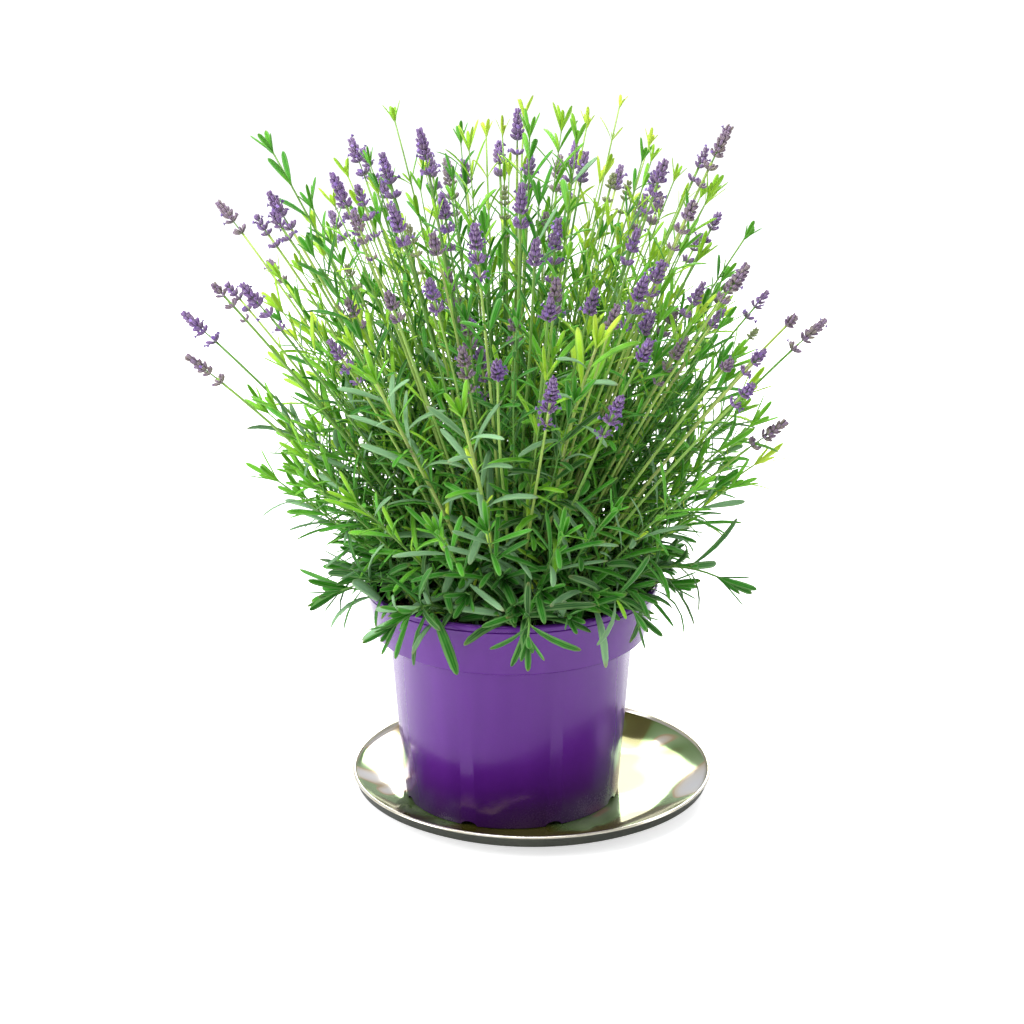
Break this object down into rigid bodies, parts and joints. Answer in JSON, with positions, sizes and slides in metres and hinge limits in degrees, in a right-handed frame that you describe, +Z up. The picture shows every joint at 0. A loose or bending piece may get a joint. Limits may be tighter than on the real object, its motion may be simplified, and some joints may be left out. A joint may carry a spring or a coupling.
{
  "type": "potted lavender",
  "caption": "Flowering lavender plant with violet flower spikes on a fan of thin stems, growing in a glossy purple plastic pot that stands on a polished metal saucer.",
  "frame": {"origin": "on the pot's axis, level with the flat underside of the saucer", "axes": "+Z up out of the pot along the plant's height; X across the plant's widest spread; -Y towards the front of the plant"},
  "size_m": [0.4051, 0.3132, 0.445],
  "materials": {
    "polished_metal": "polished",
    "purple_plastic": "glossy moulded",
    "dark_soil": "crumbly potting mix with bark",
    "stem_green": "matt square plant stem",
    "leaf_green": "matt, finely haired leaf",
    "flower_violet": "soft matt petals and calyces"
  },
  "bodies": {
    "root": {"saucer": "polished_metal", "pot": "purple_plastic", "potting_soil": "dark_soil", "flower_stem_01": "stem_green", "flower_stem_02": "stem_green", "flower_stem_03": "stem_green", "flower_stem_04": "stem_green", "flower_stem_05": "stem_green", "flower_stem_06": "stem_green", "flower_stem_07": "stem_green", "flower_stem_08": "stem_green", "flower_stem_09": "stem_green", "flower_stem_10": "stem_green", "flower_stem_11": "stem_green", "flower_stem_12": "stem_green", "flower_stem_13": "stem_green", "flower_stem_14": "stem_green", "flower_stem_15": "stem_green", "flower_stem_16": "stem_green", "flower_stem_17": "stem_green", "flower_stem_18": "stem_green", "flower_stem_19": "stem_green", "flower_spike_01": "flower_violet", "flower_spike_02": "flower_violet", "flower_spike_03": "flower_violet", "flower_spike_04": "flower_violet", "flower_spike_05": "flower_violet", "flower_spike_06": "flower_violet", "flower_spike_07": "flower_violet", "flower_spike_08": "flower_violet", "flower_spike_09": "flower_violet", "flower_spike_10": "flower_violet", "flower_spike_11": "flower_violet", "flower_spike_12": "flower_violet", "flower_spike_13": "flower_violet", "flower_spike_14": "flower_violet", "flower_spike_15": "flower_violet", "flower_spike_16": "flower_violet", "flower_spike_17": "flower_violet", "flower_spike_18": "flower_violet", "flower_spike_19": "flower_violet", "leafy_shoot_01": "leaf_green", "leafy_shoot_02": "leaf_green", "leafy_shoot_03": "leaf_green", "leafy_shoot_04": "leaf_green", "leafy_shoot_05": "leaf_green", "leafy_shoot_06": "leaf_green", "leafy_shoot_07": "leaf_green", "leafy_shoot_08": "leaf_green", "leafy_shoot_09": "leaf_green", "leafy_shoot_10": "leaf_green", "leafy_shoot_11": "leaf_green", "leafy_shoot_12": "leaf_green", "leafy_shoot_13": "leaf_green", "leafy_shoot_14": "leaf_green", "leafy_shoot_15": "leaf_green", "leafy_shoot_16": "leaf_green", "leafy_shoot_17": "leaf_green", "leafy_shoot_18": "leaf_green"}
  },
  "joints": []
}
